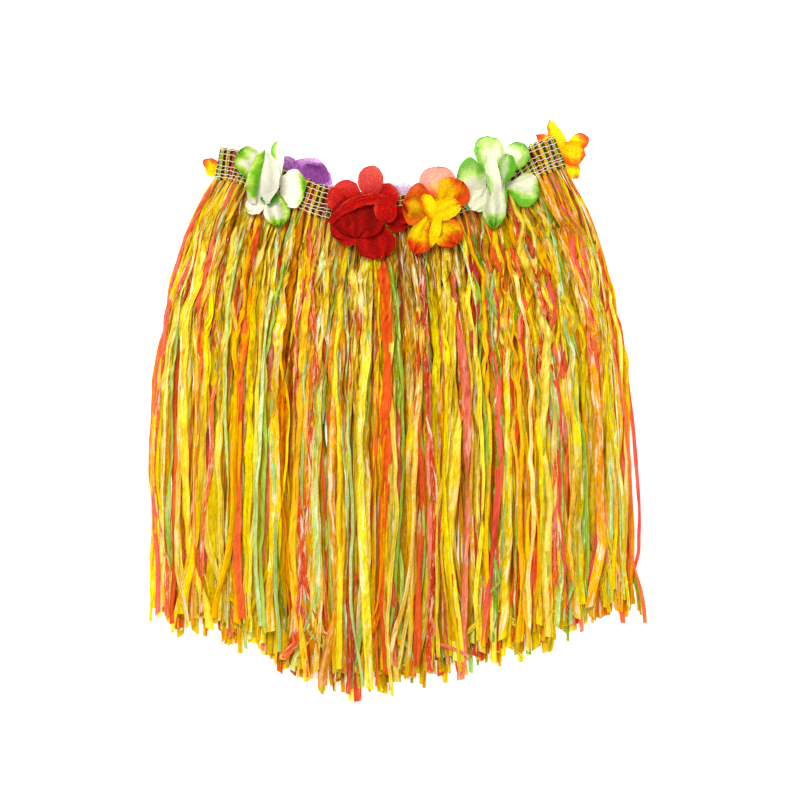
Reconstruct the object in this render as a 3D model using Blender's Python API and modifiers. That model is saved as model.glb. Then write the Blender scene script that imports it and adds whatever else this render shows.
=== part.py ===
"""A raffia hula skirt laid flat on its back.

A knitted elastic waistband, pressed flat, holds four layers of loose raffia strips, two on the front and
two on the back. Cloth flowers are sewn round the outside of the band. The skirt lies on the plane z = 0 with
its waist towards +Y, its hem towards -Y and its front facing +Z. Units are metres.
"""

import math
import random

import bmesh
import bpy
from mathutils import Matrix, Vector

# ---------------------------------------------------------------- sizes
SEAM_GAP = 0.0003  # between two pieces that are sewn together
BAND_HEIGHT = 0.0265  # waistband, from its top edge to its last row of stitches
BAND_STATIONS = 27  # lengths that the middle line is cut into, shared by the band and the rows of knots
RIBS_PER_STATION = 2  # bundles of raffia across the front of the band

# Heights above the table, from the pressed flowers under the band up to the ribs on its front.
BACK_FLOWER_TOP = 0.0020
BAND_BACK_OUTER = BACK_FLOWER_TOP + SEAM_GAP
BAND_BACK_INNER = 0.0043
BAND_FRONT_INNER = 0.0048
BAND_VALLEY = 0.0063
BAND_CREST = 0.0072
FLOWER_SEAT = BAND_CREST + SEAM_GAP
FOLD_STEPS = 4  # facets round each side fold of the band

# Middle line of the band in plan, from the wearer's right side to the left. It sags in a shallow smile.
# Columns: x, y.
WAIST_LINE = (
    (-0.163, 0.2286),
    (-0.138, 0.2236),
    (-0.087, 0.2006),
    (-0.053, 0.1906),
    (0.005, 0.1856),
    (0.064, 0.1976),
    (0.127, 0.2296),
    (0.151, 0.2391),
)

# Where the strips end, from the same side to the other. Columns: x, y.
HEM_LINE = (
    (-0.2235, -0.1964),
    (-0.165, -0.2069),
    (-0.120, -0.2244),
    (-0.075, -0.2464),
    (-0.035, -0.2584),
    (0.020, -0.2474),
    (0.070, -0.2354),
    (0.120, -0.2199),
    (0.170, -0.1974),
    (0.2268, -0.1864),
)

# ---------------------------------------------------------------- raffia
STRIPS_PER_LAYER = 50
STRIP_WIDTH_AT_BAND = 0.0048
STRIP_WIDTH = 0.0066
STRIP_THICKNESS = 0.0010
STRIP_WIDENS_OVER = 0.100
STRIP_CLEARANCE = 0.0006
STRIP_STATIONS = (0.028, 0.085, 0.155, 0.235, 0.325)  # distances from the band; the last section is the end
STRIP_LENGTH_SCATTER = 0.012
SPREAD_LENGTH_LEFT = 0.086  # the strips fan out to the hem's width over about this distance
SPREAD_LENGTH_RIGHT = 0.120
BACKING_DEPTH = 0.0040  # row of knots that joins the strips of one layer, just under the band

LOWEST_LAYER = 0.0028  # middle of the lowest layer at the band
LAYER_PITCH_AT_BAND = 0.0013
LAYER_PITCH = 0.0049  # once the strips have puffed up
PUFFS_OVER = 0.130
PUFF_AT_SIDES = 0.55
FLOOR_CLEARANCE = 0.0001
LAYER_CLEARANCE = 0.00025
LARGEST_TILT = math.radians(28)

SIDEWAYS_SWAY = 0.0045  # slow sway that neighbours share
SIDEWAYS_WANDER = 0.0042  # what each strip adds by itself

# The layers from the table up. Columns: name, level, seed, colour.
LAYERS = (
    ("fringe_back_outer", 0, 11, (0.86, 0.62, 0.05)),
    ("fringe_back_inner", 1, 23, (0.45, 0.62, 0.16)),
    ("fringe_front_inner", 2, 37, (0.88, 0.25, 0.13)),
    ("fringe_front_outer", 3, 41, (0.93, 0.72, 0.06)),
)

# ---------------------------------------------------------------- flowers
PETAL_THICKNESS = 0.0010
HUB_RADIUS = 0.0060
HUB_HEIGHT = 0.0028
HUB_SIDES = 12
HUB_TURN = math.radians(7)  # keeps the heart's corners off the middle lines of the petals
PRESSED_RADIUS = 0.0150  # heart of a flower pressed flat under the back of the band
PRESSED_SIDES = 12
PRESSED_MIDDLE = 0.0006  # middle of the lowest petal that lies under the band
PETAL_START = 0.0010  # from the flower's middle
PETAL_STEP = 0.00012  # each petal lies a little over the one before it
COVER_STEPS = 40
COVER_MARGIN = 0.0010
LARGEST_COVERED_SHARE = 0.9

TIP_ROUNDING = 0.10  # how far the petal's corners fall back, as a share of its length

# Columns: share of the petal's length, share of its full width, share of its lift.
PETAL_STATIONS = ((0.0, 0.30, 0.0), (0.42, 0.85, 0.45), (0.78, 1.0, 0.85), (1.0, 0.45, 1.0))
BACK_PETAL_WIDTHS = (0.45, 0.85, 1.0, 0.45)
BACK_PETAL_RISES = (0.0, 0.0, 0.55, 1.0)
BACK_PETAL_CUP = 0.15

# Petals of the flowers on the front.
# Columns: direction in degrees from +X, length, width, lift of the tip, cup.
FRONT_FLOWERS = {
    "flower_white_left": {
        "centre": (-0.1141, 0.2014),
        "colour": (0.86, 0.90, 0.78),
        "petals": (
            (131, 0.043, 0.024, 0.009, 0.20),
            (105, 0.040, 0.020, 0.015, 0.25),
            (81, 0.043, 0.012, 0.006, 0.10),
            (10, 0.030, 0.034, 0.010, 0.20),
            (-81, 0.035, 0.025, 0.009, 0.20),
            (224, 0.029, 0.018, 0.007, 0.15),
        ),
    },
    "flower_red": {
        "centre": (-0.0248, 0.1812),
        "colour": (0.75, 0.04, 0.03),
        "petals": (
            (146, 0.037, 0.032, 0.008, 0.20),
            (82, 0.040, 0.024, 0.010, 0.20),
            (20, 0.026, 0.028, 0.014, 0.25),
            (-22, 0.036, 0.018, 0.006, 0.15),
            (213, 0.040, 0.030, 0.008, 0.20),
            (-87, 0.039, 0.036, 0.007, 0.20),
        ),
    },
    "flower_orange": {
        "centre": (0.0386, 0.1812),
        "colour": (0.95, 0.50, 0.03),
        "petals": (
            (95, 0.040, 0.026, 0.006, 0.15),
            (48, 0.028, 0.022, 0.011, 0.20),
            (159, 0.030, 0.028, 0.008, 0.20),
            (257, 0.036, 0.022, 0.009, 0.20),
            (-48, 0.035, 0.025, 0.012, 0.25),
        ),
    },
    "flower_white_right": {
        "centre": (0.0938, 0.2060),
        "colour": (0.80, 0.90, 0.66),
        "petals": (
            (96, 0.043, 0.022, 0.008, 0.20),
            (160, 0.038, 0.030, 0.007, 0.20),
            (52, 0.045, 0.026, 0.007, 0.15),
            (-17, 0.038, 0.030, 0.006, 0.15),
            (263, 0.043, 0.020, 0.012, 0.25),
            (226, 0.032, 0.022, 0.008, 0.20),
        ),
    },
}

# Petals of the flowers pressed under the back. They lift once they are clear of the band.
# Columns: direction in degrees from +X, length, width, lift of the tip.
BACK_FLOWERS = {
    "flower_orange_back_right": {
        "centre": (0.1546, 0.2373),
        "colour": (0.95, 0.55, 0.03),
        "petals": (
            (-52, 0.029, 0.015, 0.0003),
            (114, 0.033, 0.013, 0.008),
            (149, 0.031, 0.011, 0.005),
            (54, 0.026, 0.016, 0.009),
            (4, 0.026, 0.018, 0.006),
        ),
    },
    "flower_purple_back": {
        "centre": (-0.0819, 0.2042),
        "colour": (0.55, 0.20, 0.52),
        "petals": (
            (80, 0.029, 0.032, 0.010),
            (32, 0.027, 0.024, 0.008),
            (123, 0.037, 0.016, 0.006),
        ),
    },
    "flower_lilac_back": {
        "centre": (0.0083, 0.1885),
        "colour": (0.68, 0.58, 0.70),
        "petals": ((92, 0.0215, 0.019, 0.004), (128, 0.027, 0.012, 0.004)),
    },
    "flower_orange_back_left": {
        "centre": (-0.1573, 0.2216),
        "colour": (0.95, 0.55, 0.03),
        "petals": ((166, 0.024, 0.014, 0.006), (188, 0.022, 0.012, 0.003)),
    },
}


# ---------------------------------------------------------------- helpers
def mix(a, b, share):
    return a + (b - a) * share


def smooth(low, high, value):
    share = min(1.0, max(0.0, (value - low) / (high - low)))
    return share * share * (3 - 2 * share)


class Line:
    """A smooth line through plan points, asked for by the share of its length."""

    STEPS = 16

    def __init__(self, knots):
        knots = [Vector(knot) for knot in knots]
        knots = [2 * knots[0] - knots[1]] + knots + [2 * knots[-1] - knots[-2]]
        self.points = [knots[1]]
        for a, b, c, d in zip(knots, knots[1:], knots[2:], knots[3:]):
            for step in range(1, self.STEPS + 1):
                self.points.append(self.between(a, b, c, d, step / self.STEPS))
        self.marks = [0.0]
        for a, b in zip(self.points, self.points[1:]):
            self.marks.append(self.marks[-1] + (b - a).length)
        self.length = self.marks[-1]

    @staticmethod
    def between(a, b, c, d, t):
        """The Catmull-Rom point at t between b and c."""
        return 0.5 * (2 * b + (c - a) * t + (2 * a - 5 * b + 4 * c - d) * t**2 + (3 * b - a - 3 * c + d) * t**3)

    def at(self, share):
        """(point, direction) at that share of the length."""
        reach = min(1.0, max(0.0, share)) * self.length
        index = 1
        while index < len(self.marks) - 1 and self.marks[index] < reach:
            index += 1
        a, b = self.points[index - 1], self.points[index]
        part = (reach - self.marks[index - 1]) / (self.marks[index] - self.marks[index - 1])
        return a.lerp(b, part), (b - a).normalized()

    def beside(self, share, distance):
        """The point at that distance below the line, square to it."""
        point, along = self.at(share)
        return point + Vector((along.y, -along.x)) * distance

    def distance_to(self, place):
        return min((place - point).length for point in self.points)


def material(name, colour, roughness):
    made = bpy.data.materials.new(name)
    made.use_nodes = True
    shader = made.node_tree.nodes["Principled BSDF"]
    shader.inputs["Base Color"].default_value = (*colour, 1.0)
    shader.inputs["Roughness"].default_value = roughness
    shader.inputs["Metallic"].default_value = 0.0
    return made


def object_from(bm, name, collection):
    bmesh.ops.recalc_face_normals(bm, faces=bm.faces[:])
    mesh = bpy.data.meshes.new(name)
    bm.to_mesh(mesh)
    bm.free()
    made = bpy.data.objects.new(name, mesh)
    collection.objects.link(made)
    return made


# ---------------------------------------------------------------- waistband
def band_ring(place, outward, z_outer, z_inner):
    """Four corners of the band's section: outer low, outer high, inner high, inner low."""
    low, high = place(-BAND_HEIGHT / 2), place(BAND_HEIGHT / 2)
    return [
        (*(low + outward * z_outer[0]), z_outer[1]),
        (*(high + outward * z_outer[0]), z_outer[1]),
        (*(high + outward * z_inner[0]), z_inner[1]),
        (*(low + outward * z_inner[0]), z_inner[1]),
    ]


def flat_ring(line, share, z_outer, z_inner):
    _, along = line.at(share)
    return band_ring(lambda rise: line.beside(share, -rise), along, (0.0, z_outer), (0.0, z_inner))


def fold_rings(line, share, outward_sign):
    """Sections round a side fold: front wall to back on the right, back to front on the left."""
    middle = (BAND_FRONT_INNER + BAND_BACK_INNER) / 2
    inner = (BAND_FRONT_INNER - BAND_BACK_INNER) / 2
    front, back = BAND_VALLEY - middle, middle - BAND_BACK_OUTER
    _, along = line.at(share)
    rings = []

    def place(rise):
        return line.beside(share, -rise)

    for step in range(1, FOLD_STEPS):
        turn = math.pi * step / FOLD_STEPS
        if outward_sign < 0:
            turn = math.pi - turn
        outer = mix(front, back, step / FOLD_STEPS if outward_sign > 0 else 1 - step / FOLD_STEPS)
        rings.append(
            band_ring(
                place,
                along * outward_sign,
                (outer * math.sin(turn), middle + outer * math.cos(turn)),
                (inner * math.sin(turn), middle + inner * math.cos(turn)),
            )
        )
    return rings


def waistband(line, collection):
    """One closed loop, pressed flat: the ribbed front wall, a fold, the plain back wall and a fold."""
    rings = []
    steps = 2 * RIBS_PER_STATION * BAND_STATIONS
    for index in range(steps + 1):
        top = BAND_CREST if index % 2 else BAND_VALLEY
        rings.append(flat_ring(line, index / steps, top, BAND_FRONT_INNER))
    rings += fold_rings(line, 1.0, 1)
    for index in range(BAND_STATIONS + 1):
        rings.append(flat_ring(line, 1 - index / BAND_STATIONS, BAND_BACK_OUTER, BAND_BACK_INNER))
    rings += fold_rings(line, 0.0, -1)
    bm = bmesh.new()
    made = [[bm.verts.new(corner) for corner in ring] for ring in rings]
    for ring, following in zip(made, made[1:] + made[:1]):
        for k in range(4):
            bm.faces.new((ring[k], following[k], following[(k + 1) % 4], ring[(k + 1) % 4]))
    band = object_from(bm, "waistband", collection)
    band.data.materials.append(material("knitted_band", (0.62, 0.56, 0.30), 0.75))
    return band


# ---------------------------------------------------------------- raffia strips
def strip_width(distance):
    return mix(STRIP_WIDTH_AT_BAND, STRIP_WIDTH, smooth(0, STRIP_WIDENS_OVER, distance))


def layer_pitch(share, distance):
    """Height between layers: flat at the band, puffed up further down, less at the sides."""
    puff = mix(PUFF_AT_SIDES, 1.0, math.sqrt(max(0.0, math.sin(math.pi * share))))
    return mix(LAYER_PITCH_AT_BAND, LAYER_PITCH * puff, smooth(0, PUFFS_OVER, distance))


def layer_height(level, share, distance):
    pitch = layer_pitch(share, distance)
    lowest = mix(LOWEST_LAYER, FLOOR_CLEARANCE + pitch / 2, smooth(0, PUFFS_OVER, distance))
    return lowest + level * pitch


def kept_apart(wanted, spacing):
    """The places nearest to the wanted ones that keep their order and stay this far apart.

    Each block of strips that would touch is pooled, and moves to the mean of where its strips want to be."""
    blocks = []
    for index, place in enumerate(wanted):
        blocks.append([place - index * spacing, 1])
        while len(blocks) > 1 and blocks[-2][0] > blocks[-1][0]:
            mean, count = blocks.pop()
            before, others = blocks.pop()
            blocks.append([(mean * count + before * others) / (count + others), count + others])
    flat = [mean for mean, count in blocks for _ in range(count)]
    return [mean + index * spacing for index, mean in enumerate(flat)]


class Layer:
    """The strips of one layer: where each one runs, how wide it is and how it tilts."""

    def __init__(self, level, seed, waist, hem):
        self.level = level
        chance = random.Random(seed)
        count = STRIPS_PER_LAYER
        self.shares = [(index + 0.5) / count for index in range(count)]
        self.roots = [waist.beside(share, BAND_HEIGHT / 2 + SEAM_GAP + BACKING_DEPTH) for share in self.shares]
        self.ends = [hem.at(share)[0] for share in self.shares]
        self.lengths = [root.y - end.y for root, end in zip(self.roots, self.ends)]
        self.scatter = [chance.uniform(-STRIP_LENGTH_SCATTER, STRIP_LENGTH_SCATTER) for _ in self.shares]
        self.phases = [chance.uniform(0, 2 * math.pi) for _ in self.shares]
        self.bends = [chance.uniform(0.010, 0.022) for _ in self.shares]
        self.tilt_phases = [chance.uniform(0, 2 * math.pi) for _ in self.shares]
        self.tilt_turns = [chance.uniform(10.0, 22.0) for _ in self.shares]
        self.sway_phase = chance.uniform(0, 2 * math.pi)
        self.rows = [self.row(station) for station in range(len(STRIP_STATIONS) + 1)]

    def distance(self, index, station):
        return STRIP_STATIONS[station] if station < len(STRIP_STATIONS) else self.lengths[index]

    def row(self, station):
        """x of every strip at one station."""
        wanted = []
        for index, share in enumerate(self.shares):
            distance = self.distance(index, station)
            fan = 1 - math.exp(-distance / mix(SPREAD_LENGTH_LEFT, SPREAD_LENGTH_RIGHT, share))
            loose = smooth(0, 0.200, distance)
            sway = SIDEWAYS_SWAY * math.sin(distance * 15 + share * 9 + self.sway_phase)
            wander = SIDEWAYS_WANDER * math.sin(distance / self.bends[index] * 0.32 + self.phases[index])
            root, end = self.roots[index], self.ends[index]
            wanted.append(mix(root.x, end.x, fan) + loose * (sway + wander))
        nearest = min(self.distance(index, station) for index in range(len(self.shares)))
        return kept_apart(wanted, strip_width(nearest) * 1.06 + STRIP_CLEARANCE)

    def place(self, index, station):
        distance = self.distance(index, station)
        return Vector(
            (
                self.rows[station][index],
                self.roots[index].y - distance,
                layer_height(self.level, self.shares[index], distance),
            )
        )

    def sections(self, index):
        """Corners of each section after the first: left low, right low, right high, left high."""
        root = Vector((*self.roots[index], layer_height(self.level, self.shares[index], 0)))
        path = [root] + [self.place(index, station) for station in range(len(self.rows))]
        last_stretch = self.lengths[index] - STRIP_STATIONS[-1]
        path[-1] = path[-2].lerp(path[-1], 1 + self.scatter[index] / last_stretch)
        made = []
        for station in range(1, len(path)):
            distance = self.distance(index, station - 1)
            heading = path[min(station + 1, len(path) - 1)] - path[station - 1]
            across = Vector((-heading.y, heading.x, 0)).normalized()
            half = strip_width(distance) / 2
            room = layer_pitch(self.shares[index], distance) / 2 - LAYER_CLEARANCE - STRIP_THICKNESS / 2
            most = min(LARGEST_TILT, math.asin(min(1.0, max(0.0, room / half))))
            tilt = most * math.sin(distance * self.tilt_turns[index] + self.tilt_phases[index])
            side = across * math.cos(tilt) + Vector((0, 0, math.sin(tilt)))
            up = Vector((0, 0, math.cos(tilt))) - across * math.sin(tilt)
            side, up = side * half, up * STRIP_THICKNESS / 2
            at = path[station]
            made.append((at - side - up, at + side - up, at + side + up, at - side + up))
        return made


def fringe(name, level, seed, colour, waist, hem, collection):
    """A narrow row of knots under the band, and the strips that grow from its lower edge."""
    layer = Layer(level, seed, waist, hem)
    bottom = layer_height(level, 0.5, 0) - STRIP_THICKNESS / 2
    near, far = BAND_HEIGHT / 2 + SEAM_GAP, BAND_HEIGHT / 2 + SEAM_GAP + BACKING_DEPTH
    bm = bmesh.new()

    def corner(share, distance):
        return bm.verts.new((*waist.beside(share, distance), bottom))

    half = STRIP_WIDTH_AT_BAND / 2 / waist.length
    lower = [corner(0.0, far)]
    roots = []
    for share in layer.shares:
        roots.append((corner(share - half, far), corner(share + half, far)))
        lower += roots[-1]
    lower.append(corner(1.0, far))
    upper = [corner(1 - index / BAND_STATIONS, near) for index in range(BAND_STATIONS + 1)]
    outline = bm.faces.new(lower + upper)
    lifted = bmesh.ops.extrude_face_region(bm, geom=[outline], use_keep_orig=True)["geom"]
    lifted = [item for item in lifted if isinstance(item, bmesh.types.BMVert)]
    bmesh.ops.translate(bm, verts=lifted, vec=(0, 0, STRIP_THICKNESS))
    for index, (left, right) in enumerate(roots):
        edge = bm.edges.get((left, right))
        face = next(side for side in edge.link_faces if side is not outline)
        order = []
        for vert in face.verts:
            on_left = (vert.co.xy - left.co.xy).length < (vert.co.xy - right.co.xy).length
            high = vert.co.z > bottom + STRIP_THICKNESS / 2
            order.append((3 if high else 0) if on_left else (2 if high else 1))
        for corners in layer.sections(index):
            before = dict(zip(order, face.verts))
            face = bmesh.ops.extrude_discrete_faces(bm, faces=[face])["faces"][0]
            after = dict(zip(order, face.verts))
            for which, vert in after.items():
                vert.co = corners[which]
            # The under side and the top are cut along the same diagonal, so a twist leaves the wall whole.
            for left, right in ((0, 1), (3, 2)):
                bmesh.ops.connect_vert_pair(bm, verts=[before[left], after[right]])
    made = object_from(bm, name, collection)
    made.data.materials.append(material(name, colour, 0.45))
    return made


# ---------------------------------------------------------------- flowers
def sheet(name, station_rows, collection):
    """A petal: a grid two cells wide with a row for each station, shaped row by row, then made thick."""
    rows = len(station_rows) - 1
    bm = bmesh.new()
    bmesh.ops.create_grid(bm, x_segments=2, y_segments=rows, size=1.0)
    for vert in bm.verts:
        row = round((vert.co.y + 1) / 2 * rows)
        vert.co = station_rows[row](vert.co.x)
    mesh = bpy.data.meshes.new(name)
    bm.to_mesh(mesh)
    bm.free()
    made = bpy.data.objects.new(name, mesh)
    collection.objects.link(made)
    thick = made.modifiers.new("Thickness", "SOLIDIFY")
    thick.thickness = PETAL_THICKNESS
    thick.offset = 0.0
    made.hide_render = True
    made.display_type = "WIRE"
    return made


def petal_rows(centre, degrees, length, width, stations):
    """For each (along, width share, height, cup) a function from -1..1 across the petal to its point."""
    turn = math.radians(degrees)
    along = Vector((math.cos(turn), math.sin(turn)))
    across = Vector((math.sin(turn), -math.cos(turn)))
    rows = []
    for share, wide, height, cup in stations:

        def point(side, share=share, wide=wide, height=height, cup=cup):
            half = width / 2 * wide
            rounding = length * TIP_ROUNDING * side * side * share
            reach = mix(PETAL_START, length, share) - rounding
            flat = Vector(centre) + along * reach + across * (side * half)
            return Vector((*flat, height + cup * half * side * side))

        rows.append(point)
    return rows


def hub(name, centre, radius, bottom, top, sides, collection):
    bm = bmesh.new()
    bmesh.ops.create_cone(
        bm, cap_ends=True, segments=sides, radius1=radius, radius2=radius * 0.9, depth=top - bottom
    )
    bmesh.ops.rotate(bm, verts=bm.verts[:], cent=(0, 0, 0), matrix=Matrix.Rotation(HUB_TURN, 3, "Z"))
    bmesh.ops.translate(bm, verts=bm.verts[:], vec=(*centre, (bottom + top) / 2))
    return object_from(bm, name, collection)


def flower(name, heart, petals, colour, helpers):
    """Joins the petals to the flower's heart."""
    holder = bpy.data.collections.new(name + "_petals")
    helpers.children.link(holder)
    for index, rows in enumerate(petals):
        petal = sheet(f"{name}_petal_{index + 1}", rows, holder)
        join = heart.modifiers.new(f"Petal {index + 1}", "BOOLEAN")
        join.operation = "UNION"
        join.solver = "MANIFOLD"  # EXACT loses some of the petals, which cross at very small angles
        join.object = petal
    heart.data.materials.append(material(name, colour, 0.8))
    return heart


def front_flower(name, facts, collection, helpers):
    petals = []
    for index, (degrees, length, width, lift, cup) in enumerate(facts["petals"]):
        middle = FLOWER_SEAT + HUB_HEIGHT / 3 + index * PETAL_STEP
        stations = [(a, w, middle + lift * h, cup * h) for a, w, h in PETAL_STATIONS]
        petals.append(petal_rows(facts["centre"], degrees, length, width, stations))
    top = FLOWER_SEAT + HUB_HEIGHT
    heart = hub(name, facts["centre"], HUB_RADIUS, FLOWER_SEAT, top, HUB_SIDES, collection)
    return flower(name, heart, petals, facts["colour"], helpers)


def covered_share(centre, degrees, length, width, line):
    """The share of a petal's length from which both of its edges are clear of the band."""
    turn = math.radians(degrees)
    along = Vector((math.cos(turn), math.sin(turn)))
    across = Vector((math.sin(turn), -math.cos(turn)))
    for step in range(COVER_STEPS, -1, -1):
        middle = Vector(centre) + along * length * step / COVER_STEPS
        edges = (middle + across * width / 2 * side for side in (-1, 0, 1))
        if any(line.distance_to(edge) < BAND_HEIGHT / 2 + COVER_MARGIN for edge in edges):
            return min(LARGEST_COVERED_SHARE, (step + 1) / COVER_STEPS)
    return 0.0


def back_flower(name, facts, line, collection, helpers):
    petals = []
    for index, (degrees, length, width, lift) in enumerate(facts["petals"]):
        free = covered_share(facts["centre"], degrees, length, width, line)
        places = (0.0, free, (1 + free) / 2, 1.0)
        middle = PRESSED_MIDDLE + index * PETAL_STEP
        stations = [
            (place, wide, middle + lift * rise, BACK_PETAL_CUP * rise)
            for place, wide, rise in zip(places, BACK_PETAL_WIDTHS, BACK_PETAL_RISES)
        ]
        petals.append(petal_rows(facts["centre"], degrees, length, width, stations))
    heart = hub(name, facts["centre"], PRESSED_RADIUS, 0.0, BACK_FLOWER_TOP, PRESSED_SIDES, collection)
    return flower(name, heart, petals, facts["colour"], helpers)


# ---------------------------------------------------------------- the skirt
def main():
    for old in list(bpy.data.objects):
        bpy.data.objects.remove(old)
    skirt = bpy.data.collections.new("hula_skirt")
    helpers = bpy.data.collections.new("helpers")
    bpy.context.scene.collection.children.link(skirt)
    bpy.context.scene.collection.children.link(helpers)

    waist, hem = Line(WAIST_LINE), Line(HEM_LINE)
    waistband(waist, skirt)
    for name, level, seed, colour in LAYERS:
        fringe(name, level, seed, colour, waist, hem, skirt)
    for name, facts in FRONT_FLOWERS.items():
        front_flower(name, facts, skirt, helpers)
    for name, facts in BACK_FLOWERS.items():
        back_flower(name, facts, waist, skirt, helpers)


main()
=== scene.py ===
"""The looks of a raffia hula skirt laid flat: crumpled film strips, a netted waistband and cloth flowers.

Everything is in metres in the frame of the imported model: the skirt lies on z = 0 with its waist towards +Y
and its front facing +Z. A petal's facts are in millimetres and degrees.
"""

import math
from collections import namedtuple

import bpy
import numpy as np
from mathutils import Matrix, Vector


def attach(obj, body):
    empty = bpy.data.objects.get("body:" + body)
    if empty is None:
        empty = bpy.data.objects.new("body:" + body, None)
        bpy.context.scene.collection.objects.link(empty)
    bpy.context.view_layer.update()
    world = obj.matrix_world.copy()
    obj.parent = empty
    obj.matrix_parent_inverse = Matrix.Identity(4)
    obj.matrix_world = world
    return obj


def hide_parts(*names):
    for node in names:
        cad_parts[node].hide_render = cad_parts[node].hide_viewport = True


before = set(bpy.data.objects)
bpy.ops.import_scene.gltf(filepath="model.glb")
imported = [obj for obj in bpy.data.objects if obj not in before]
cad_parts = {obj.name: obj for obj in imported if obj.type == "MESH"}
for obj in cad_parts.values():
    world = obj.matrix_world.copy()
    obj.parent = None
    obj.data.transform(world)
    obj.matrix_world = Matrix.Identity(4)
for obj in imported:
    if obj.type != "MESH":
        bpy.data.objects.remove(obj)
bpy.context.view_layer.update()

MM = 0.001
WHITE = (1.0, 1.0, 1.0, 1.0)

# ---- sizes repeated from the part
BAND_HEIGHT = 0.0265
BAND_COLUMNS = 54  # bundles of raffia across each side of the band
BAND_LOW, BAND_VALLEY = 0.0023, 0.0063  # heights of the band's underside and of the grooves in its front
FLOWER_SEAT = 0.0075
FLOOR_CLEARANCE = 0.0003  # nothing lies lower than this
# The strips fan out to the hem's width over about these distances, at the two sides and in the middle.
SPREAD_LENGTH_LEFT, SPREAD_LENGTH_RIGHT, SPREAD_LENGTH_INSIDE = 0.086, 0.12, 0.055

WAIST_LINE = (
    (-0.163, 0.2286), (-0.138, 0.2236), (-0.087, 0.2006), (-0.053, 0.1906),
    (0.005, 0.1856), (0.064, 0.1976), (0.127, 0.2296), (0.151, 0.2391),
)
HEM_LINE = (
    (-0.2235, -0.1964), (-0.165, -0.2069), (-0.12, -0.2244), (-0.075, -0.2464), (-0.035, -0.2584),
    (0.02, -0.2474), (0.07, -0.2354), (0.12, -0.2199), (0.17, -0.1974), (0.2268, -0.1864),
)

# ---- camera and light
PHOTO_SCALE = 0.00092  # metres to a pixel
PICTURE_WIDTH = 800 * PHOTO_SCALE
CAMERA_PLACE = (0.0046, 0.0105, 2.4)
SENSOR = 36.0
FLOOR_SIZE, FLOOR_HEIGHT = 6.0, -0.0002
FLOOR_GLOW = 0.4  # the floor glows a little, so that no shadow shows on it
WORLD_LIGHT = 0.8
# Columns: name; place; size; power.
LIGHTS = (
    ("key", (-0.45, 1.0, 1.6), 0.8, 47.0),
    ("fill", (0.9, -0.5, 1.8), 1.0, 12.0),
)

# ---- raffia
STATIONS = 80  # points along a strip
CLOSER_AT_BAND = 1.12  # a power that draws them together near the band
ACROSS = (-1.0, -0.66, 0.0, 0.66, 1.0)  # points across it, as shares of its half width
HALF_WIDTH = 0.0032
PILE_HEIGHT = 0.017
PUFF_AT_SIDES = 0.5  # the pile's height at the skirt's sides, as a share
PUFFS_OVER = 0.13  # the pile is at its full height this far below the band
PILE_FLOOR = FLOOR_CLEARANCE + 0.0012  # the lowest a strip's middle line lies
NEIGHBOUR_STEP = 0.0006  # neighbours in a layer lie this much over each other
LOCKS = 27

# Layers of strips, lowest first. Columns: side; number of strips; height in the pile; height at the band.
LAYERS = (
    ("back", 56, 0.02, 0.0026),
    ("back", 56, 0.11, 0.0030),
    ("back", 56, 0.20, 0.0035),
    ("back", 56, 0.30, 0.0041),
    ("front", 66, 0.40, 0.0048),
    ("front", 66, 0.50, 0.0051),
    ("front", 66, 0.60, 0.0054),
    ("front", 66, 0.70, 0.0057),
    ("front", 66, 0.80, 0.0060),
    ("front", 54, 0.90, 0.0063),
    ("front", 54, 1.00, 0.0066),
)
# A layer above these heights in the pile belongs to the front, clings more, and hangs in bundles.
FRONT_LEVEL, CLINGING_LEVEL, BUNDLED_LEVEL = 0.35, 0.45, 0.65

# How a strip runs. A pair is a lowest and a highest value, or an average and a spread for SHORTER_BY.
TUCKED_IN = 0.0025  # it starts this far above the band's lower edge
STRIP_SHARES = (0.004, 0.996)  # the outermost strips, as shares of the waist line
ROOT_SHARES = (0.01, 0.987)  # and where they leave the band
END_SHARES = (-0.004, 1.004)  # the outermost ends, as shares of the hem line
DRIFT, STRAY_CHANCE, STRAY_DRIFT = 0.01, 0.11, (0.03, 0.075)  # how far along the hem it drifts
SHORTER_BY, MOST_LONGER = (0.011, 0.0085), 0.008
CUT_CHANCE, CUT_BY = 0.1, (0.01, 0.05)
LEAN, MOST_LEAN, LEANS_OVER = 0.0028, 0.02, 0.09  # its last stretch leans aside, now and then far
HELD_LEFT, HELD_RIGHT = 0.35, 0.45  # how much of a sway past the skirt's sides is left
TANGLE_AT, TANGLE_REACH, TANGLE_MORE = 0.83, 0.1, 1.1  # more crumpled under the right white flower
TIP_BEND_CHANCE, TIP_BEND = 0.12, (0.4, 1.2)  # a tip folded sideways, by these angles
TURN_CHANCE, TURN_AT, TURN_LENGTH = 0.2, (0.04, 0.4), 0.035  # a strip turned right over
WIDTHS, WIDTH_CHANCES, GREEN_WIDTH = (1.45, 1.05, 0.76, 0.45), (0.15, 0.3, 0.33, 0.22), 0.62
# How much painted highlight a strip takes, and how often.
SHINES, SHINE_CHANCES = (0.0, 0.45, 1.0), (0.42, 0.18, 0.4)
FAMILY_STEP = 0.618  # neighbours step through the colour families by the golden ratio

# Kinks along a strip. Each kind is a few pairs: how far apart the kinks are and how far they stray.
KINKS = {
    "sway": ((0.022, 0.0003), (0.08, 0.001), (0.24, 0.005)),
    "crumple": ((0.017, 0.0011), (0.038, 0.0019)),
    "side": ((0.06, 0.0012),),
    "rise": ((0.055, 0.0007), (0.022, 0.0003)),
    "crumpled rise": ((0.018, 0.0013),),
    "roll": ((0.09, math.radians(17)), (0.024, math.radians(7))),
    "crumpled roll": ((0.02, math.radians(44)),),
    "width": ((0.06, 0.1),),
    "curl": ((0.065, 0.3),),
    "crease": ((0.11, 0.36),),
    # tone: painted crumple shade, the strip lighter and darker along its length
    "tone": ((0.04, 0.12),),
}


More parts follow.
